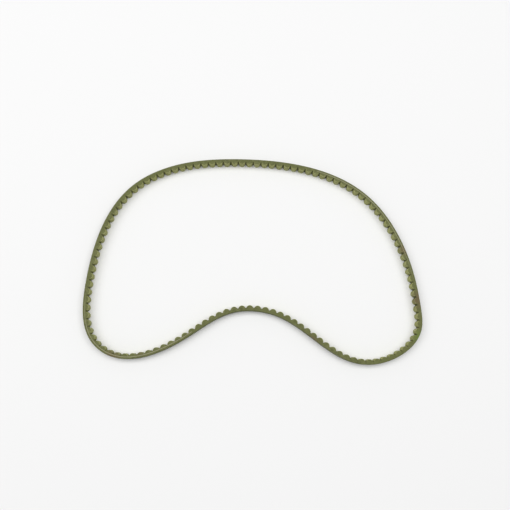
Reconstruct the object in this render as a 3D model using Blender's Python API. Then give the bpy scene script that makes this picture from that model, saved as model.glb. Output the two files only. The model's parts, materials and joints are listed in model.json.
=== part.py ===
"""An endless curvilinear timing belt lying on its slit edge in a free kidney-shaped loop, metres, +Z up.

The belt is a sandwich: facing fabric over the teeth, tooth rubber, tensile cords and backing rubber.
It bends everywhere, so it is cut at tooth lands into stretches that turn on upright hinges, each
hinge on the cord line, where a real belt keeps its length. The first stretch holds the loop's dent
and carries the others, which run round both ways and meet at the one pivot that is left open.
"""

import math

import bmesh
import bpy
import numpy as np
from mathutils import Vector

# Belt
TEETH = 120
PITCH = 0.003
WIDTH = 0.004

# Tooth, measured from the land between teeth
TOOTH_HEIGHT = 0.0010
TOOTH_ROOT_WIDTH = 0.0025
TOOTH_FULLNESS = 1.8
TOOTH_SIDES = 4

# Layers at a land, from the pulley side outwards
FACING_THICKNESS = 0.00008
ROOT_WEB_THICKNESS = 0.00008
CORD_DIAMETER = 0.00019
BACKING_THICKNESS = 0.00069
LAYER_CLEARANCE = 0.00002
CORD_EDGE_COVER = 0.00015

# Hinged stretches
STRETCHES = 12
OPEN_PIVOT = 3
HINGE_CLEARANCE = 0.0003

# How the loop lies: points on the cord line, counter-clockwise from above, scaled to the pitch length
LIE = [
    (-33.5, 36.0), (-45.5, 30.0), (-63.5, -9.0), (-59.5, -32.5), (-55.5, -35.5), (-27.0, -30.0), (-9.0, -20.0),
    (9.5, -21.5), (44.0, -39.5), (63.5, -26.5), (63.5, -18.5), (61.5, -6.5), (44.5, 25.0), (-8.0, 39.5),
]
FIRST_LAND_SHARE = 1 / 3
SAMPLES_PER_TOOTH = 40

SHARP_EDGE = math.radians(50)

# Depths from the cord line, positive outwards
CORD_INNER = -CORD_DIAMETER / 2
CORD_OUTER = CORD_DIAMETER / 2
WEB_OUTER = CORD_INNER - LAYER_CLEARANCE
WEB_INNER = WEB_OUTER - ROOT_WEB_THICKNESS
FACING_OUTER = WEB_INNER - LAYER_CLEARANCE
LAND = FACING_OUTER - FACING_THICKNESS
BACKING_INNER = CORD_OUTER + LAYER_CLEARANCE
BACK = BACKING_INNER + BACKING_THICKNESS


def clear_scene():
    for obj in list(bpy.data.objects):
        bpy.data.objects.remove(obj, do_unlink=True)


def material(name, color, roughness, metallic=0.0):
    made = bpy.data.materials.new(name)
    made.use_nodes = True
    shader = made.node_tree.nodes["Principled BSDF"]
    shader.inputs["Base Color"].default_value = (*color, 1.0)
    shader.inputs["Roughness"].default_value = roughness
    shader.inputs["Metallic"].default_value = metallic
    return made


def spline_bends(knots, points):
    """Second derivatives of the closed cubic spline through the points."""
    count = len(points)
    spans = np.diff(knots)
    matrix = np.zeros((count, count))
    rises = np.zeros((count, 2))
    for i in range(count):
        before, after = spans[i - 1], spans[i]
        matrix[i, i - 1] += before
        matrix[i, i] += 2 * (before + after)
        matrix[i, (i + 1) % count] += after
        rise_after = (points[(i + 1) % count] - points[i]) / after
        rise_before = (points[i] - points[i - 1]) / before
        rises[i] = 6 * (rise_after - rise_before)
    return np.linalg.solve(matrix, rises)


def closed_spline(points, samples):
    """Points along the closed cubic spline, the last one back at the first."""
    points = np.array(points)
    ring = np.vstack([points, points[:1]])
    knots = np.concatenate([[0.0], np.cumsum(np.linalg.norm(np.diff(ring, axis=0), axis=1))])
    bends = spline_bends(knots, points)
    bends = np.vstack([bends, bends[:1]])
    places = np.linspace(0.0, knots[-1], samples + 1)
    spans = np.clip(np.searchsorted(knots, places, side="right") - 1, 0, len(points) - 1)
    width = (knots[spans + 1] - knots[spans])[:, None]
    far = ((places - knots[spans]) / (knots[spans + 1] - knots[spans]))[:, None]
    near = 1 - far
    line = near * ring[spans] + far * ring[spans + 1]
    bow = (near**3 - near) * bends[spans] + (far**3 - far) * bends[spans + 1]
    return line + bow * width**2 / 6


class CordLine:
    """The loop's cord line, read by distance along it from the first hinge."""

    def __init__(self):
        self.length = TEETH * PITCH
        samples = TEETH * SAMPLES_PER_TOOTH
        raw = closed_spline(LIE, samples)
        travel = np.concatenate([[0.0], np.cumsum(np.linalg.norm(np.diff(raw, axis=0), axis=1))])
        even = np.linspace(0.0, travel[-1], samples + 1)
        even = np.column_stack([np.interp(even, travel, raw[:, axis]) for axis in (0, 1)])
        even = even[:-1] * self.length / travel[-1]
        even = np.roll(even, -round(FIRST_LAND_SHARE * samples), axis=0)
        along = np.roll(even, -1, axis=0) - np.roll(even, 1, axis=0)
        along /= np.linalg.norm(along, axis=1)[:, None]
        self.outward = np.column_stack([along[:, 1], -along[:, 0]])
        rim = even + self.outward * BACK
        self.points = even - (rim.min(axis=0) + rim.max(axis=0)) / 2
        self.samples = samples

    def at(self, distance, depth=0.0):
        """The plan point at this distance along the loop and this far outside the cord line."""
        place = distance / self.length * self.samples
        low = math.floor(place)
        share = place - low
        first, second = low % self.samples, (low + 1) % self.samples
        point = (1 - share) * self.points[first] + share * self.points[second]
        normal = (1 - share) * self.outward[first] + share * self.outward[second]
        return point + normal / np.linalg.norm(normal) * depth


def tooth_profile(inset):
    """One tooth from root to root as (offset from its middle, depth) points, moved this far into the rubber."""
    half = TOOTH_ROOT_WIDTH / 2
    outline = [(-half - PITCH, 0.0)]
    for step in range(TOOTH_SIDES + 1):
        turn = math.pi * (1 - step / TOOTH_SIDES)
        reach = abs(math.cos(turn)) ** (2 / TOOTH_FULLNESS)
        rise = abs(math.sin(turn)) ** (2 / TOOTH_FULLNESS)
        outline.append((math.copysign(reach * half, step - TOOTH_SIDES / 2), TOOTH_HEIGHT * rise))
    outline.append((half + PITCH, 0.0))
    outline = np.array(outline)
    moved = []
    for before, here, after in zip(outline, outline[1:], outline[2:]):
        first = (here - before) / np.linalg.norm(here - before)
        second = (after - here) / np.linalg.norm(after - here)
        first_in = np.array([first[1], -first[0]])
        second_in = np.array([second[1], -second[0]])
        corner = (first_in + second_in) / (1 + first_in @ second_in)
        moved.append(here + corner * inset)
    return [(offset, LAND - rise) for offset, rise in moved]


def stretch_ends(number):
    """The distances at which a stretch's solids start and end, each on a land, short of the hinge."""
    first = round(number * TEETH / STRETCHES)
    last = round((number + 1) * TEETH / STRETCHES)
    return first, last, first * PITCH + HINGE_CLEARANCE / 2, last * PITCH - HINGE_CLEARANCE / 2


def tooth_middles(number):
    first, last, _, _ = stretch_ends(number)
    return [(tooth + 0.5) * PITCH for tooth in range(first, last)]


def root_stations(number):
    """Distances shared by the layers: both ends and both roots of each tooth's rubber."""
    _, _, start, end = stretch_ends(number)
    roots = tooth_profile(FACING_THICKNESS + LAYER_CLEARANCE)
    stations = [start]
    for middle in tooth_middles(number):
        stations += [middle + roots[0][0], middle + roots[-1][0]]
    return stations + [end]


def band_cells(line, number, inner, outer):
    """Plan cells of a plain band between two depths."""
    stations = root_stations(number)
    return [
        [line.at(a, outer), line.at(b, outer), line.at(b, inner), line.at(a, inner)]
        for a, b in zip(stations, stations[1:])
    ]


def toothed_line(line, number, inset):
    """The pulley side of a toothed layer from end to end, tooth by tooth."""
    _, _, start, end = stretch_ends(number)
    profile = tooth_profile(inset)
    land = profile[0][1]
    teeth = [
        [line.at(middle + offset, depth) for offset, depth in profile]
        for middle in tooth_middles(number)
    ]
    return line.at(start, land), teeth, line.at(end, land)


def facing_cells(line, number):
    """Plan cells of the fabric, a skin of even thickness that follows land and tooth."""
    start_a, teeth_a, end_a = toothed_line(line, number, 0.0)
    start_b, teeth_b, end_b = toothed_line(line, number, FACING_THICKNESS)
    outside = [start_a] + [point for tooth in teeth_a for point in tooth] + [end_a]
    inside = [start_b] + [point for tooth in teeth_b for point in tooth] + [end_b]
    return [
        [inside[i], inside[i + 1], outside[i + 1], outside[i]]
        for i in range(len(outside) - 1)
    ]


def tooth_rubber_cells(line, number):
    """Plan cells of the tooth rubber: a block under each tooth, joined by the thin web at each land."""
    start, teeth, end = toothed_line(line, number, FACING_THICKNESS + LAYER_CLEARANCE)
    web = [line.at(station, WEB_OUTER) for station in root_stations(number)]
    cells = [[web[0], web[1], teeth[0][0], start]]
    for i, tooth in enumerate(teeth):
        cells.append([web[2 * i + 1], web[2 * i + 2]] + tooth[::-1])
        following = teeth[i + 1][0] if i + 1 < len(teeth) else end
        cells.append([web[2 * i + 2], web[2 * i + 3], following, tooth[-1]])
    return cells


def extruded(name, cells, bottom, top, finish, hinge):
    """One closed solid: plan cells that share corners, raised from bottom to top."""
    shape = bmesh.new()
    corners = {}
    for cell in cells:
        face = []
        for x, y in cell:
            key = (round(x, 9), round(y, 9))
            if key not in corners:
                corners[key] = shape.verts.new((x - hinge.x, y - hinge.y, bottom - hinge.z))
            face.append(corners[key])
        shape.faces.new(face)
    raised = bmesh.ops.extrude_face_region(shape, geom=shape.faces[:])
    upper = [item for item in raised["geom"] if isinstance(item, bmesh.types.BMVert)]
    bmesh.ops.translate(shape, verts=upper, vec=(0.0, 0.0, top - bottom))
    bmesh.ops.recalc_face_normals(shape, faces=shape.faces[:])
    mesh = bpy.data.meshes.new(name)
    shape.to_mesh(mesh)
    shape.free()
    mesh.shade_smooth()
    mesh.set_sharp_from_angle(angle=SHARP_EDGE)
    mesh.materials.append(finish)
    made = bpy.data.objects.new(name, mesh)
    bpy.context.scene.collection.objects.link(made)
    return made


def hinge_empty(line, number, parent, parent_place):
    """The empty on a stretch's hinge axis; the first stretch carries the loop and sits at the origin."""
    made = bpy.data.objects.new(f"hinge_of_stretch_{number + 1:02d}", None)
    made.empty_display_size = WIDTH
    bpy.context.scene.collection.objects.link(made)
    place = np.zeros(2)
    if parent:
        crossing = number if number < OPEN_PIVOT else number + 1
        place = line.at(stretch_ends(crossing)[0] * PITCH)
        made.parent = parent
    made.location = (*(place - parent_place), 0.0)
    return made, place


def make_stretch(line, number, hinge, place, finishes):
    label = f"{number + 1:02d}"
    pivot = Vector((*place, 0.0))
    layers = {
        "facing": (facing_cells(line, number), 0.0, WIDTH),
        "tooth_rubber": (tooth_rubber_cells(line, number), 0.0, WIDTH),
        "tensile_cords": (
            band_cells(line, number, CORD_INNER, CORD_OUTER),
            CORD_EDGE_COVER,
            WIDTH - CORD_EDGE_COVER,
        ),
        "backing": (band_cells(line, number, BACKING_INNER, BACK), 0.0, WIDTH),
    }
    for layer, (cells, bottom, top) in layers.items():
        made = extruded(f"{layer}_{label}", cells, bottom, top, finishes[layer], pivot)
        made.parent = hinge


def main():
    clear_scene()
    finishes = {
        "facing": material("facing_fabric", (0.115, 0.120, 0.065), 0.85),
        "tooth_rubber": material("tooth_rubber", (0.150, 0.160, 0.065), 0.70),
        "tensile_cords": material("glass_cord", (0.550, 0.520, 0.380), 0.60),
        "backing": material("backing_rubber", (0.190, 0.200, 0.085), 0.62),
    }
    line = CordLine()
    hinges = {0: hinge_empty(line, 0, None, np.zeros(2))}
    onwards = range(1, OPEN_PIVOT)
    backwards = range(STRETCHES - 1, OPEN_PIVOT - 1, -1)
    for run in (onwards, backwards):
        carrier = 0
        for number in run:
            hinges[number] = hinge_empty(line, number, *hinges[carrier])
            carrier = number
    for number in range(STRETCHES):
        make_stretch(line, number, *hinges[number], finishes)


main()
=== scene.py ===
"""Looks of the olive timing belt: every layer is swept round the cord line that the frame's cords lie on."""

import json
import math

import bpy
import numpy as np
from mathutils import Matrix, Vector


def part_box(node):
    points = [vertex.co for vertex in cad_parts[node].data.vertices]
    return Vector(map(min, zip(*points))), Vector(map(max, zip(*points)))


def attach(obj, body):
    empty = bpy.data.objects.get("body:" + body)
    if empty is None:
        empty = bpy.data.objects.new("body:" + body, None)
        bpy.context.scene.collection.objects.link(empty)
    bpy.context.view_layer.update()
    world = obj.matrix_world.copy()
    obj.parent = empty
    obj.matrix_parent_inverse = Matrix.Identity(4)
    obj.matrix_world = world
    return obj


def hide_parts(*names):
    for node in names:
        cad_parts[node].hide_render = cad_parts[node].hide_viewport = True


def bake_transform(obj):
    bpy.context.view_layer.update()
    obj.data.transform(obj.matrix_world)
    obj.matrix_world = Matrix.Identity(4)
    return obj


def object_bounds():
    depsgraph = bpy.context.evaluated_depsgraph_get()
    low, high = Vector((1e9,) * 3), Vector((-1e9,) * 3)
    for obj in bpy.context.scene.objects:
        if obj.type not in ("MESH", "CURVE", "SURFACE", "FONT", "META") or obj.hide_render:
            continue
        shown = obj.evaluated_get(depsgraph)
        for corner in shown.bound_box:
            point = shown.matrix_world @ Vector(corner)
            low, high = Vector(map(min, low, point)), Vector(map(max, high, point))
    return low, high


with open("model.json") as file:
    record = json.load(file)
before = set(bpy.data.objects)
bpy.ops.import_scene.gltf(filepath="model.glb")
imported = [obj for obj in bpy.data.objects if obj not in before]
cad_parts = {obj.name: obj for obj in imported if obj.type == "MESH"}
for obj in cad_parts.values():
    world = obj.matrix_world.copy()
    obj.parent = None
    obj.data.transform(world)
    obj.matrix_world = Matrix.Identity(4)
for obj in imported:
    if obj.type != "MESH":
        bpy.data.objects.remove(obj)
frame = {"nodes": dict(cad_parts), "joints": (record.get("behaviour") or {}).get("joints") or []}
cad_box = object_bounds()

MM = 0.001

# Belt
TEETH = 120
STRETCHES = 12
OPEN_PIVOT = 3

# Tooth form
TOOTH_HEIGHT = 1.00 * MM
TOOTH_ROOT_WIDTH = 2.50 * MM
TOOTH_FULLNESS = 1.8
ROOT_FILLET = 0.09 * MM
FACING_THICKNESS = 0.08 * MM

# Bond lines between the layers, and the rounding of the back's rims and of the knife's cut
BOND_LINE = 0.003 * MM
BACK_RIM = 0.34 * MM
CUT_RIM = 0.025 * MM
KNIFE_WANDER = 0.02 * MM

# Hairline left between the skin's two ends at the open pivot
SEAM_GAP = 0.06 * MM

# Cords: an S and a Z cord wound side by side, each moving up by one lead every time round
CORD_RADIUS = 0.095 * MM
CORD_LEAD = 1.10 * MM
CORD_STAND_OUT = 0.012 * MM
CORD_SIDES = 10
CORD_FIRST_SHARE = 0.2
CORD_EDGE_REACH = 0.8 * CORD_RADIUS

# Mesh fineness
STATIONS_PER_PITCH = 30
BACK_STATION = 0.25 * MM
CORD_STATION = 0.5 * MM
SKIN_SHARP = math.radians(40)
CORD_SHARP = math.radians(50)

# How far either side of a hinge the bend line's ends are sought at most
BEND_REACH = 13 * MM

# Stains on the rubber: x, y and reach, in millimetres
BROWN_STAINS = [
    (22.0, -31.5, 2.6),
    (-53.0, -37.5, 3.2),
    (63.2, -15.5, 3.5),
    (58.6, 4.0, 2.4),
    (-43.0, -35.0, 2.0),
]
GREEN_STAINS = [(62.6, -29.5, 2.6)]
STAIN_HEIGHT = 3.0


# ---------------------------------------------------------------- the loop that the frame lies on

def plan_points(node):
    """Corners of a CAD node's lower face, seen from above."""
    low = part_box(node)[0][2]
    corners = np.array([v.co for v in frame["nodes"][node].data.vertices])
    corners = corners[corners[:, 2] < low + 0.1 * MM][:, :2]
    return np.unique(np.round(corners, 7), axis=0)


def middles_of_pairs(points):
    """The middle of each inner and outer corner pair of a cord band."""
    gaps = np.linalg.norm(points[:, None] - points[None], axis=2)
    partner = np.abs(gaps - 2 * CORD_RADIUS).argmin(axis=1)
    pairs = {tuple(sorted((i, int(j)))) for i, j in enumerate(partner)}
    return np.array([(points[i] + points[j]) / 2 for i, j in sorted(pairs)])


def chained(points, start):
    """The points in order from the one nearest the start, each next one the nearest that is left."""
    left = list(range(len(points)))
    order = []
    here = start
    while left:
        nearest = min(left, key=lambda i: float(np.linalg.norm(points[i] - here)))
        left.remove(nearest)
        order.append(nearest)
        here = points[nearest]
    return points[order]


def cord_middles(start):
    """Points on the cord line from the start right round, stretch after stretch."""
    line = np.array([start])
    for name in sorted(frame["nodes"]):
        if name.startswith("tensile_cords_"):
            line = np.vstack([line, chained(middles_of_pairs(plan_points(name)), line[-1])])
    return line[1:]


def spline_bends(knots, points):
    """Second derivatives of the closed cubic spline through the points."""
    count = len(points)
    spans = np.diff(knots)
    matrix = np.zeros((count, count))
    rises = np.zeros((count, 2))
    for i in range(count):
        before, after = spans[i - 1], spans[i]
        following = (i + 1) % count
        matrix[i, i - 1] += before
        matrix[i, i] += 2 * (before + after)
        matrix[i, following] += after
        rises[i] = 6 * ((points[following] - points[i]) / after - (points[i] - points[i - 1]) / before)
    return np.linalg.solve(matrix, rises)


def closed_spline(points, samples):
    """Points along the closed cubic spline, the last one back at the first."""
    ring = np.vstack([points, points[:1]])
    knots = np.concatenate([[0.0], np.cumsum(np.linalg.norm(np.diff(ring, axis=0), axis=1))])
    bends = spline_bends(knots, points)
    bends = np.vstack([bends, bends[:1]])
    places = np.linspace(0.0, knots[-1], samples + 1)
    spans = np.clip(np.searchsorted(knots, places, side="right") - 1, 0, len(points) - 1)
    width = (knots[spans + 1] - knots[spans])[:, None]
    far = (places - knots[spans])[:, None] / width
    near = 1 - far
    bow = (near**3 - near) * bends[spans] + (far**3 - far) * bends[spans + 1]
    return near * ring[spans] + far * ring[spans + 1] + bow * width**2 / 6


class Loop:
    """The cord line in plan, read by distance counter-clockwise from the hinge beside the dent."""

    SAMPLES = 14400

    def __init__(self, start):
        line = closed_spline(cord_middles(np.array(start[:2])), self.SAMPLES)
        travel = np.concatenate([[0.0], np.cumsum(np.linalg.norm(np.diff(line, axis=0), axis=1))])
        self.length = travel[-1]
        even = np.linspace(0.0, self.length, self.SAMPLES + 1)[:-1]
        line = np.column_stack([np.interp(even, travel, line[:, axis]) for axis in (0, 1)])
        first = int(np.linalg.norm(line - np.array(start[:2]), axis=1).argmin())
        self.line = np.roll(line, -first, axis=0)
        along = np.roll(self.line, -1, axis=0) - np.roll(self.line, 1, axis=0)
        along /= np.linalg.norm(along, axis=1)[:, None]
        self.outward = np.column_stack([along[:, 1], -along[:, 0]])

    def at(self, distance, depth, height):
        """World points of arrays of distance, depth (positive on the smooth back's side) and height."""
        distance, depth, height = np.broadcast_arrays(distance, depth, height)
        place = np.mod(distance / self.length, 1.0) * self.SAMPLES
        low = np.floor(place).astype(int)
        share = (place - low)[..., None]
        first, second = low % self.SAMPLES, (low + 1) % self.SAMPLES
        point = (1 - share) * self.line[first] + share * self.line[second]
        normal = (1 - share) * self.outward[first] + share * self.outward[second]
        plan = point + normal * depth[..., None]
        return np.concatenate([plan, height[..., None]], axis=-1)

    def depth_of(self, point):
        """How far a plan point lies outside the cord line."""
        nearest = int(np.linalg.norm(self.line - point, axis=1).argmin())
        return float((point - self.line[nearest]) @ self.outward[nearest])


dent_bend = next(joint for joint in frame["joints"] if joint["name"] == "dent_bend")
loop = Loop(dent_bend["pos_m"])
PITCH = loop.length / TEETH
BOTTOM, TOP = cad_box[0][2], cad_box[1][2]
BACK = max(loop.depth_of(point) for point in plan_points("backing_01"))
TIP = min(loop.depth_of(point) for point in plan_points("facing_01"))
LAND = TIP + TOOTH_HEIGHT
HALF_RUN = PITCH * TEETH / STRETCHES / 2
SEAM = OPEN_PIVOT * 2 * HALF_RUN


# ---------------------------------------------------------------- section shapes

def tooth_pitch_line():
    """One pitch of the facing's pulley side: offset from the tooth's middle, rise and length walked.

    The tooth is a superellipse on the land, with its roots filleted by a running mean.
    """
    half = TOOTH_ROOT_WIDTH / 2
    turn = np.linspace(math.pi, 0.0, 181)
    reach = np.abs(np.cos(turn)) ** (2 / TOOTH_FULLNESS) * np.sign(np.cos(turn)) * half
    swell = np.abs(np.sin(turn)) ** (2 / TOOTH_FULLNESS) * TOOTH_HEIGHT
    offsets = np.concatenate([[-PITCH / 2], reach, [PITCH / 2]])
    rises = np.concatenate([[0.0], swell, [0.0]])
    walked = np.concatenate([[0.0], np.cumsum(np.hypot(np.diff(offsets), np.diff(rises)))])
    fine = np.linspace(0.0, walked[-1], 901)
    drift = np.interp(fine, walked, offsets) - fine / walked[-1] * PITCH
    rises = np.interp(fine, walked, rises)
    spread = ROOT_FILLET / fine[1]
    reach = int(3 * spread)
    bell = np.exp(-0.5 * (np.arange(-reach, reach + 1) / spread) ** 2)
    bell /= bell.sum()
    drift = np.convolve(np.pad(drift[:-1], reach, mode="wrap"), bell, mode="valid")
    rises = np.convolve(np.pad(rises[:-1], reach, mode="wrap"), bell, mode="valid")
    rises = (rises - rises.min()) / (rises.max() - rises.min()) * TOOTH_HEIGHT
    picked = np.linspace(0, len(drift), STATIONS_PER_PITCH + 1).round().astype(int)[:-1]
    return drift[picked] + fine[picked] / walked[-1] * PITCH, rises[picked], fine[picked], walked[-1]


class ToothedLine:
    """The pulley side of the facing over a run of whole pitches, and lines square to it inside."""

    def __init__(self, first, last):
        offsets, rises, walked, around = tooth_pitch_line()
        teeth = np.arange(first, last)[:, None]
        self.distance = np.append(((teeth + 0.5) * PITCH + offsets).ravel(), last * PITCH)
        self.depth = np.append((LAND - rises + 0 * teeth).ravel(), LAND - rises[0])
        self.travel = np.append((teeth * around + walked).ravel(), last * around)
        rising = np.append(offsets, offsets[0] + PITCH), np.append(-rises, -rises[0])
        run = np.append(np.diff(rising[0]), 0.0)
        run = (run + np.roll(run, 1))[:-1]
        fall = np.append(np.diff(rising[1]), 0.0)
        fall = (fall + np.roll(fall, 1))[:-1]
        size = np.hypot(run, fall)
        self.lean = np.append(np.tile(-fall / size, len(teeth)), -fall[0] / size[0])
        self.square = np.append(np.tile(run / size, len(teeth)), run[0] / size[0])

    def inside(self, inset):
        """Distances and depths of the line moved this far into the rubber."""
        return self.distance + self.lean * inset, self.depth + self.square * inset


def knife_top(distance):
    """Height of the upper slit edge, which wanders by less than the knife's sway."""
    turns = 2 * math.pi * distance / loop.length
    return TOP - KNIFE_WANDER * (3 + np.sin(7 * turns) + np.sin(19 * turns + 1) + np.sin(47 * turns)) / 6


def knife_bottom(distance):
    """Height of the lower slit edge."""
    turns = 2 * math.pi * distance / loop.length
    return BOTTOM + KNIFE_WANDER * (3 + np.sin(5 * turns + 2) + np.sin(23 * turns) + np.sin(41 * turns)) / 6


def rounded_rim(radius, sides):
    """(in from the face, down from the edge) shares of a quarter round, from the face to the edge."""
    turns = np.linspace(0.0, math.pi / 2, sides + 1)
    return [(radius * (1 - math.cos(turn)), radius * (1 - math.sin(turn))) for turn in turns]


# ---------------------------------------------------------------- meshes

def short_of_seam(distance):
    """Distances held back from the open pivot, on the side that most of them are on."""
    side = 1.0 if np.mean(distance) > SEAM else -1.0
    return SEAM + side * np.maximum(side * (distance - SEAM), SEAM_GAP / 2)


def column(value, rows):
    return np.broadcast_to(value, rows.shape)


def skin_object(name, verts, faces, flat, rest, sharp_above):
    """A smooth-shaded object with the map 'belt' and its rest places, both in millimetres."""
    mesh = bpy.data.meshes.new(name)
    mesh.from_pydata(verts, [], faces)
    layer = mesh.uv_layers.new(name="belt")
    layer.data.foreach_set("uv", np.asarray(flat, np.float32).ravel())
    places = mesh.attributes.new("rest_place", "FLOAT_VECTOR", "POINT")
    places.data.foreach_set("vector", np.asarray(rest, np.float32).ravel())
    mesh.shade_smooth()
    mesh.set_sharp_from_angle(angle=sharp_above)
    made = bpy.data.objects.new(name, mesh)
    bpy.context.scene.collection.objects.link(made)
    return made


def tube_faces(count, around):
    """Side faces of a closed tube of count rings, then the two lists of corners that cap it."""
    i, j = np.meshgrid(np.arange(count - 1), np.arange(around), indexing="ij")
    following = (j + 1) % around
    quads = np.stack(
        [i * around + j, (i + 1) * around + j, (i + 1) * around + following, i * around + following],
        axis=-1,
    ).reshape(-1, 4)
    last = (count - 1) * around
    return quads.tolist(), list(range(around)), [last + k for k in reversed(range(around))]


def tube_map(along, across):
    """Map places for tube_faces, from the distance along at each ring and across at each corner and back."""
    around = len(across) - 1
    i, j = np.meshgrid(np.arange(len(along) - 1), np.arange(around), indexing="ij")
    corners = [(i, j), (i + 1, j), (i + 1, j + 1), (i, j + 1)]
    sides = np.stack([np.stack([along[a], across[b]], axis=-1) for a, b in corners], axis=-2)
    caps = [(along[0], across[k]) for k in range(around)]
    caps += [(along[-1], across[k]) for k in reversed(range(around))]
    return np.vstack([sides.reshape(-1, 2), caps])


def swept(name, ribs, travel):
    """A closed tube through ribs of (distance, depth, height) points, with each point's depth kept.

    A rib runs up the outer side, inwards, down the pulley side and outwards again.
    """
    rib = np.stack([np.stack([column(part, travel) for part in corner], axis=-1) for corner in ribs], axis=1)
    places = loop.at(short_of_seam(rib[..., 0]), rib[..., 1], rib[..., 2])
    quads, first_cap, last_cap = tube_faces(*places.shape[:2])
    ring = np.linalg.norm(np.diff(np.concatenate([rib, rib[:, :1]], axis=1)[..., 1:], axis=1), axis=2)
    across = np.concatenate([[0.0], np.cumsum(ring.max(axis=0))])
    faces = quads + [first_cap, last_cap]
    flat = tube_map(travel / MM, across / MM)
    made = skin_object(name, places.reshape(-1, 3).tolist(), faces, flat, places / MM, SKIN_SHARP)
    depth = made.data.attributes.new("depth", "FLOAT", "POINT")
    depth.data.foreach_set("value", (rib[..., 1] / MM).astype(np.float32).ravel())
    return made


def backing_skin(name, first, last):
    """The smooth back's rubber, its two outer rims rounded."""
    travel = np.linspace(first * PITCH, last * PITCH, round((last - first) * PITCH / BACK_STATION) + 1)
    top, bottom = knife_top(travel), knife_bottom(travel)
    rim = rounded_rim(BACK_RIM, 7)
    inner = [0.30 * MM, 0.05 * MM]
    cut = rounded_rim(CUT_RIM, 2)
    ribs = [(travel, BACK - across, bottom + down) for across, down in reversed(rim)]
    ribs += [(travel, BACK, bottom + share * (top - bottom)) for share in (0.3, 0.5, 0.7)]
    ribs += [(travel, BACK - across, top - down) for across, down in rim]
    ribs += [(travel, depth, top) for depth in inner]
    ribs += [(travel, BOND_LINE + across, top - down) for across, down in reversed(cut)]
    ribs += [(travel, BOND_LINE + across, bottom + down) for across, down in cut]
    ribs += [(travel, depth, bottom) for depth in reversed(inner)]
    return swept(name, ribs, travel)


def tooth_rubber_skin(name, first, last):
    """The toothed rubber from the cord line to the fabric."""
    line = ToothedLine(first, last)
    distance, depth = line.inside(FACING_THICKNESS + BOND_LINE)
    top, bottom = knife_top(distance), knife_bottom(distance)
    cut = rounded_rim(CUT_RIM, 2)
    shares = (0.12, 0.5, 0.88)
    ribs = [(distance, -BOND_LINE - across, bottom + down) for across, down in reversed(cut)]
    ribs += [(distance, -BOND_LINE - across, top - down) for across, down in cut]
    reach = depth + BOND_LINE
    ribs += [(distance, -BOND_LINE + share * reach, top) for share in shares]
    ribs += [(distance, depth, top), (distance, depth, bottom)]
    ribs += [(distance, -BOND_LINE + share * reach, bottom) for share in reversed(shares)]
    return swept(name, ribs, line.travel)


def facing_skin(name, first, last):
    """The fabric over land and tooth, its cut rims a little softened."""
    line = ToothedLine(first, last)
    top, bottom = knife_top(line.distance), knife_bottom(line.distance)
    rim = rounded_rim(CUT_RIM, 3)
    inner = line.inside(FACING_THICKNESS)
    shares = (0.06, 0.5, 0.94)
    ribs = [(*inner, bottom), (*inner, top)]
    ribs += [(*line.inside(across), top - down) for across, down in reversed(rim)]
    ribs += [(*line.inside(0.0), top - share * (top - bottom)) for share in shares]
    ribs += [(*line.inside(across), bottom + down) for across, down in rim]
    return swept(name, ribs, line.travel)


def cord_turns(first, last):
    """Distance and height runs of each turn of the two cords that crosses this part of the loop."""
    travel = np.linspace(first * PITCH, last * PITCH, round((last - first) * PITCH / CORD_STATION) + 1)
    turns = math.ceil((TOP - BOTTOM) / CORD_LEAD) + 1
    for twist in (0, 1):
        for turn in range(-1, turns):
            height = BOTTOM + CORD_LEAD * (travel / loop.length + turn + twist / 2 + CORD_FIRST_SHARE)
            inside = (height > BOTTOM - CORD_EDGE_REACH) & (height < TOP + CORD_EDGE_REACH)
            if inside.sum() > 1:
                yield twist, travel[inside], height[inside]


def cord_skin(name, first, last):
    """The wound cords as separate tubes, cut flush with the slit edges where they run out of them."""
    verts, faces, rest, flat = [], [], [], []
    turns = np.linspace(0.0, 2 * math.pi, CORD_SIDES + 1)
    for twist, travel, height in cord_turns(first, last):
        depth = CORD_RADIUS * np.cos(turns[:-1]) + 0 * travel[:, None]
        level = height[:, None] + CORD_RADIUS * np.sin(turns[:-1])
        low = knife_bottom(travel)[:, None] - CORD_STAND_OUT
        high = knife_top(travel)[:, None] + CORD_STAND_OUT
        level = np.clip(level, np.maximum(low, BOTTOM), np.minimum(high, TOP))
        places = loop.at(short_of_seam(travel)[:, None] + 0 * level, depth, level)
        quads, first_cap, last_cap = tube_faces(len(travel), CORD_SIDES)
        faces += [[len(verts) + k for k in face] for face in quads + [first_cap, last_cap]]
        verts += places.reshape(-1, 3).tolist()
        rest += (places / MM).reshape(-1, 3).tolist()
        lean = 1 if twist else -1
        flat += tube_map(lean * travel / MM, turns / (2 * math.pi)).tolist()
    return skin_object(name, verts, faces, flat, rest, CORD_SHARP)


# ---------------------------------------------------------------- shader wiring

# A Mix node's sockets for colours
COLOUR_A = 6
COLOUR_B = 7
COLOUR_RESULT = 2


def add(tree, kind, **settings):
    """A shader node with its settings."""
    made = tree.nodes.new(kind)
    for key, value in settings.items():
        setattr(made, key, value)
    return made


def join(tree, *wires):
    for source, target in wires:
        tree.links.new(source, target)


def math_node(tree, operation, first, second=None, third=None, clamp=False):
    """A Math node's result; each operand is a socket or a number."""
    made = tree.nodes.new("ShaderNodeMath")
    made.operation = operation
    made.use_clamp = clamp
    for slot, operand in enumerate((first, second, third)):
        if operand is None:
            continue
        if isinstance(operand, (int, float)):
            made.inputs[slot].default_value = operand
        else:
            tree.links.new(operand, made.inputs[slot])
    return made.outputs[0]


def times(tree, first, second):
    return math_node(tree, "MULTIPLY", first, second)


def plus(tree, first, second):
    return math_node(tree, "ADD", first, second)


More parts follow.
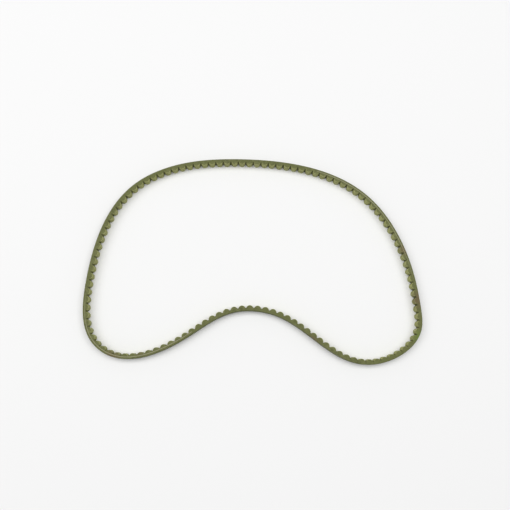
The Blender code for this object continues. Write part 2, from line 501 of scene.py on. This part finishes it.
def noise(tree, place, scale, detail, roughness=0.5, distortion=0.0):
    made = add(tree, "ShaderNodeTexNoise")
    made.inputs["Scale"].default_value = scale
    made.inputs["Detail"].default_value = detail
    made.inputs["Roughness"].default_value = roughness
    made.inputs["Distortion"].default_value = distortion
    tree.links.new(place, made.inputs["Vector"])
    return made.outputs["Fac"]


def spread(tree, value, low, high):
    """Value stretched so that low becomes 0 and high becomes 1, kept between them."""
    made = add(tree, "ShaderNodeMapRange")
    made.inputs["From Min"].default_value = low
    made.inputs["From Max"].default_value = high
    tree.links.new(value, made.inputs["Value"])
    return made.outputs["Result"]


def blend_colour(tree, share, first, second):
    """A Mix node's colour; each colour is a socket or a tuple."""
    made = tree.nodes.new("ShaderNodeMix")
    made.data_type = "RGBA"
    tree.links.new(share, made.inputs["Factor"])
    for slot, colour in ((COLOUR_A, first), (COLOUR_B, second)):
        if isinstance(colour, tuple):
            made.inputs[slot].default_value = (*colour, 1.0)
        else:
            tree.links.new(colour, made.inputs[slot])
    return made.outputs[COLOUR_RESULT]


def new_group(name, inputs, outputs):
    """An empty node group with named sockets; each is (name, socket type, default)."""
    tree = bpy.data.node_groups.new(name, "ShaderNodeTree")
    for label, kind, value in inputs:
        socket = tree.interface.new_socket(label, in_out="INPUT", socket_type=f"NodeSocket{kind}")
        if value is not None:
            socket.default_value = value
    for label, kind in outputs:
        tree.interface.new_socket(label, in_out="OUTPUT", socket_type=f"NodeSocket{kind}")
    return tree, tree.nodes.new("NodeGroupInput"), tree.nodes.new("NodeGroupOutput")


def rubber_grain_group():
    """Fine grain of moulded rubber and the slow mottling of an old belt."""
    tree, given, result = new_group(
        "Rubber grain",
        [("Place", "Vector", None)],
        [("Grain", "Float"), ("Mottle", "Float"), ("Drift", "Float"), ("Height", "Float")],
    )
    place = given.outputs["Place"]
    fine = noise(tree, place, 9.0, 4.0, 0.6)
    pits = add(tree, "ShaderNodeTexVoronoi")
    pits.inputs["Scale"].default_value = 5.0
    join(tree, (place, pits.inputs["Vector"]))
    pitted = spread(tree, pits.outputs["Distance"], 0.0, 0.35)
    height = plus(tree, times(tree, fine, 0.7), times(tree, pitted, 0.3))
    join(
        tree,
        (fine, result.inputs["Grain"]),
        (noise(tree, place, 0.9, 5.0, 0.6, 0.4), result.inputs["Mottle"]),
        (noise(tree, place, 0.11, 3.0, 0.5), result.inputs["Drift"]),
        (height, result.inputs["Height"]),
    )
    return tree


def stain_group():
    """Brown and green stains at chosen places on the loop, ragged at their rims."""
    tree, given, result = new_group(
        "Old stains", [("Place", "Vector", None)], [("Brown", "Float"), ("Green", "Float")]
    )
    place = given.outputs["Place"]
    ragged = noise(tree, place, 0.8, 3.0, 0.6)
    for colour, spots in (("Brown", BROWN_STAINS), ("Green", GREEN_STAINS)):
        total = None
        for x, y, reach in spots:
            away = add(tree, "ShaderNodeVectorMath", operation="DISTANCE")
            away.inputs[1].default_value = (x, y, STAIN_HEIGHT)
            join(tree, (place, away.inputs[0]))
            near = math_node(tree, "DIVIDE", away.outputs["Value"], reach)
            near = math_node(tree, "SUBTRACT", 1.35, near)
            near = math_node(tree, "ADD", near, math_node(tree, "SUBTRACT", ragged, 0.6), clamp=True)
            total = near if total is None else math_node(tree, "MAXIMUM", total, near)
        join(tree, (total, result.inputs[colour]))
    return tree


def weave_group():
    """Plain weave of stretch nylon: yarns running along the belt and across it."""
    tree, given, result = new_group(
        "Plain weave",
        [("Map", "Vector", None), ("Yarns per mm", "Float", 5.0)],
        [("Yarn", "Float"), ("Height", "Float")],
    )
    parts = add(tree, "ShaderNodeSeparateXYZ")
    join(tree, (given.outputs["Map"], parts.inputs[0]))
    waves = []
    for axis in ("X", "Y"):
        phase = times(tree, parts.outputs[axis], given.outputs["Yarns per mm"])
        waves.append(math_node(tree, "SINE", times(tree, phase, math.pi)))
    along, across = waves
    crossing = times(tree, along, across)
    side = math_node(tree, "GREATER_THAN", crossing, 0.0)
    round_along = math_node(tree, "ABSOLUTE", along)
    round_across = math_node(tree, "ABSOLUTE", across)
    warp = times(tree, round_along, math_node(tree, "MULTIPLY_ADD", round_across, 0.5, 0.5))
    weft = times(tree, round_across, math_node(tree, "MULTIPLY_ADD", round_along, 0.5, 0.5))
    mixed = add(tree, "ShaderNodeMix", data_type="FLOAT")
    join(tree, (side, mixed.inputs[0]), (warp, mixed.inputs[2]), (weft, mixed.inputs[3]))
    join(tree, (side, result.inputs["Yarn"]), (mixed.outputs[0], result.inputs["Height"]))
    return tree


def knife_group():
    """Fine scratches that the slitting knife drags along the belt."""
    tree, given, result = new_group("Knife drag", [("Map", "Vector", None)], [("Height", "Float")])
    stretched = add(tree, "ShaderNodeVectorMath", operation="MULTIPLY")
    stretched.inputs[1].default_value = (0.35, 14.0, 1.0)
    join(tree, (given.outputs["Map"], stretched.inputs[0]))
    join(tree, (noise(tree, stretched.outputs["Vector"], 1.0, 3.0, 0.6), result.inputs["Height"]))
    return tree


def group(tree, kind, **wires):
    made = tree.nodes.new("ShaderNodeGroup")
    made.node_tree = kind
    for label, source in wires.items():
        tree.links.new(source, made.inputs[label])
    return made


def attribute(tree, name):
    made = add(tree, "ShaderNodeAttribute")
    made.attribute_name = name
    return made


def new_finish(name, roughness):
    """A material with its Principled shader, the skin's rest place and the belt map."""
    made = bpy.data.materials.new(name)
    made.use_nodes = True
    tree = made.node_tree
    shader = tree.nodes["Principled BSDF"]
    shader.inputs["Roughness"].default_value = roughness
    shader.inputs["Specular IOR Level"].default_value = 0.22
    place = attribute(tree, "rest_place").outputs["Vector"]
    belt = add(tree, "ShaderNodeUVMap", uv_map="belt").outputs["UV"]
    return made, tree, shader, place, belt


def bump(tree, shader, height, distance):
    made = add(tree, "ShaderNodeBump")
    made.inputs["Distance"].default_value = distance
    join(tree, (height, made.inputs["Height"]), (made.outputs["Normal"], shader.inputs["Normal"]))


def rubber_colour(tree, place, grain, dark, middle, pale):
    """Olive rubber, mottled, with the old stains on it."""
    stains = group(tree, STAINS, Place=place)
    tone = blend_colour(tree, spread(tree, grain.outputs["Mottle"], 0.30, 0.72), dark, pale)
    tone = blend_colour(tree, spread(tree, grain.outputs["Drift"], 0.35, 0.65), tone, middle)
    speck = times(tree, spread(tree, grain.outputs["Grain"], 0.35, 0.75), 0.35)
    tone = blend_colour(tree, speck, tone, pale)
    brown = times(tree, stains.outputs["Brown"], 0.7)
    green = times(tree, stains.outputs["Green"], 0.7)
    tone = blend_colour(tree, brown, tone, (0.13, 0.085, 0.045))
    return blend_colour(tree, green, tone, (0.13, 0.19, 0.03))


def rubber_finish(name, roughness, dark, middle, pale):
    """Moulded rubber, its slit edges dragged by the knife."""
    made, tree, shader, place, belt = new_finish(name, roughness)
    grain = group(tree, GRAIN, Place=place)
    knife = group(tree, KNIFE, Map=belt)
    colour = rubber_colour(tree, place, grain, dark, middle, pale)
    height = plus(tree, grain.outputs["Height"], times(tree, knife.outputs["Height"], 0.6))
    join(tree, (colour, shader.inputs["Base Color"]))
    bump(tree, shader, height, 0.03 * MM)
    return made


def tooth_rubber_finish():
    dark, middle, pale = (0.058, 0.065, 0.015), (0.106, 0.116, 0.033), (0.176, 0.184, 0.072)
    return rubber_finish("tooth_rubber_olive", 0.62, dark, middle, pale)


def backing_finish():
    dark, middle, pale = (0.056, 0.063, 0.015), (0.103, 0.113, 0.032), (0.170, 0.178, 0.070)
    return rubber_finish("backing_rubber_olive", 0.58, dark, middle, pale)


def facing_finish():
    """Woven nylon, its own colour on the tooth crests, with painted shade darkening it down in the roots."""
    made, tree, shader, place, belt = new_finish("facing_nylon_olive", 0.8)
    grain = group(tree, GRAIN, Place=place)
    weave = group(tree, WEAVE, Map=belt)
    depth = attribute(tree, "depth").outputs["Fac"]
    dark, middle, pale = (0.235, 0.245, 0.075), (0.335, 0.347, 0.122), (0.430, 0.438, 0.195)
    yarn = times(tree, weave.outputs["Yarn"], 0.25)
    flank, root = TIP + 0.45 * TOOTH_HEIGHT, LAND - 0.05 * TOOTH_HEIGHT
    # painted shade: the fabric is darkened towards the land, down in the tooth roots where shade falls
    painted_root_shade = times(tree, spread(tree, depth, flank / MM, root / MM), 0.78)
    colour = rubber_colour(tree, place, grain, dark, middle, pale)
    colour = blend_colour(tree, yarn, colour, (0.43, 0.435, 0.215))
    # the painted root shade is laid over the fabric's colour here
    colour = blend_colour(tree, painted_root_shade, colour, (0.085, 0.090, 0.032))
    join(tree, (colour, shader.inputs["Base Color"]))
    bump(tree, shader, weave.outputs["Height"], 0.04 * MM)
    return made


def cord_finish():
    """Twisted glass cord, its strands leaning one way on the S cord and the other on the Z cord."""
    made, tree, shader, place, belt = new_finish("tensile_cord_pale", 0.5)
    parts = add(tree, "ShaderNodeSeparateXYZ")
    join(tree, (belt, parts.inputs[0]))
    twist = plus(tree, times(tree, parts.outputs["X"], 2.2), times(tree, parts.outputs["Y"], 3.0))
    strand = math_node(tree, "ABSOLUTE", math_node(tree, "SINE", times(tree, twist, math.pi)))
    grain = group(tree, GRAIN, Place=place)
    colour = blend_colour(tree, strand, (0.20, 0.19, 0.11), (0.46, 0.44, 0.30))
    colour = blend_colour(tree, times(tree, grain.outputs["Mottle"], 0.5), colour, (0.18, 0.18, 0.10))
    join(tree, (colour, shader.inputs["Base Color"]))
    bump(tree, shader, strand, 0.03 * MM)
    return made


GRAIN = rubber_grain_group()
STAINS = stain_group()
WEAVE = weave_group()
KNIFE = knife_group()


# ---------------------------------------------------------------- putting the skin on the stretches

def stretch(number):
    return f"stretch_{(number - 1) % STRETCHES + 1:02d}"


def bend_line(hinge):
    """Where the skin would start and stop bending: as far from the hinge as leaves it rigid at mid-stretch.
    """
    run = hinge + np.linspace(-HALF_RUN, HALF_RUN, 241)
    skin = np.stack([loop.at(run, depth, BOTTOM) for depth in (TIP, 0.0, BACK)])
    for reach in np.arange(BEND_REACH, MM, -0.5 * MM):
        start, end = loop.at(np.array([hinge - reach, hinge + reach]), 0.0, BOTTOM)
        share = np.clip((skin - start) @ (end - start) / ((end - start) @ (end - start)), 0, 1)
        if share[:, 0].max() == 0 and share[:, -1].min() == 1 and np.diff(share, axis=1).min() >= 0:
            return start, end
    raise ValueError(f"the skin doubles back at the hinge {hinge / MM:.1f} mm round the loop")


def half_runs():
    """(label, first pitch, last pitch, body or bodies, CAD stretch stood for) of each run of skin."""
    half = TEETH // STRETCHES // 2
    for bend in range(STRETCHES):
        middle = 2 * half * bend
        if bend == OPEN_PIVOT:
            yield "03b", middle - half, middle, [stretch(bend)], None
            yield "04a", middle, middle + half, [stretch(bend + 1)], bend + 1
        else:
            label = f"{(bend - 1) % STRETCHES + 1:02d}_{bend % STRETCHES + 1:02d}"
            yield label, middle - half, middle + half, [stretch(bend), stretch(bend + 1)], bend + 1


LAYERS = {
    "backing": (backing_skin, backing_finish()),
    "tensile_cords": (cord_skin, cord_finish()),
    "tooth_rubber": (tooth_rubber_skin, tooth_rubber_finish()),
    "facing": (facing_skin, facing_finish()),
}


def dress_belt():
    for label, first, last, bodies, stood_for in half_runs():
        for layer, (make, finish) in LAYERS.items():
            piece = make(f"{layer}_skin_{label}", first, last)
            piece.data.materials.append(finish)
            if len(bodies) == 2:
                start, end = bend_line((first + last) / 2 * PITCH)
                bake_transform(piece)
            else:
                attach(piece, bodies[0])
            if stood_for:
                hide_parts(f"{layer}_{stood_for:02d}")


# ---------------------------------------------------------------- floor, lights, camera

def floor_finish():
    """Matt white card."""
    made = bpy.data.materials.new("pale_floor")
    made.use_nodes = True
    tree = made.node_tree
    shader = tree.nodes["Principled BSDF"]
    shader.inputs["Roughness"].default_value = 0.9
    shader.inputs["Specular IOR Level"].default_value = 0.1
    shader.inputs["Base Color"].default_value = (0.80, 0.80, 0.80, 1.0)
    return made


def lay_floor():
    mesh = bpy.data.meshes.new("floor")
    side = 1.5
    corners = [(-side, -side, 0.0), (side, -side, 0.0), (side, side, 0.0), (-side, side, 0.0)]
    mesh.from_pydata(corners, [], [(0, 1, 2, 3)])
    mesh.materials.append(floor_finish())
    floor = bpy.data.objects.new("floor", mesh)
    floor.location.z = -0.01 * MM
    bpy.context.scene.collection.objects.link(floor)


def soft_box(name, place, target, size, power):
    lamp = bpy.data.lights.new(name, "AREA")
    lamp.shape = "RECTANGLE"
    lamp.size, lamp.size_y = size
    lamp.energy = power
    made = bpy.data.objects.new(name, lamp)
    made.location = place
    made.rotation_euler = (Vector(target) - Vector(place)).to_track_quat("-Z", "Y").to_euler()
    bpy.context.scene.collection.objects.link(made)


def light_studio():
    world = bpy.data.worlds.new("soft_room")
    world.use_nodes = True
    sky = world.node_tree.nodes["Background"]
    sky.inputs["Color"].default_value = (1.0, 1.0, 1.0, 1.0)
    sky.inputs["Strength"].default_value = 0.32
    bpy.context.scene.world = world
    soft_box("overhead_light", (-0.18, 0.14, 1.0), (-0.18, 0.14, 0.0), (2.10, 0.66), 15.0)
    bpy.context.scene.view_settings.view_transform = "Standard"


def set_camera():
    lens = bpy.data.cameras.new("camera")
    lens.sensor_width = 36.0
    lens.lens = 42.20
    lens.shift_x = -0.0304
    lens.clip_start = 0.01
    made = bpy.data.objects.new("camera", lens)
    place = Vector((-0.00460, -0.03725, 0.23260))
    target = Vector((0.00610, 0.00165, 0.00400))
    ahead = (target - place).normalized()
    right = ahead.cross(Vector((0.0, 1.0, 0.0))).normalized()
    made.location = place
    made.rotation_euler = Matrix((right, right.cross(ahead), -ahead)).transposed().to_euler()
    bpy.context.scene.collection.objects.link(made)
    bpy.context.scene.camera = made


dress_belt()
lay_floor()
light_studio()
set_camera()
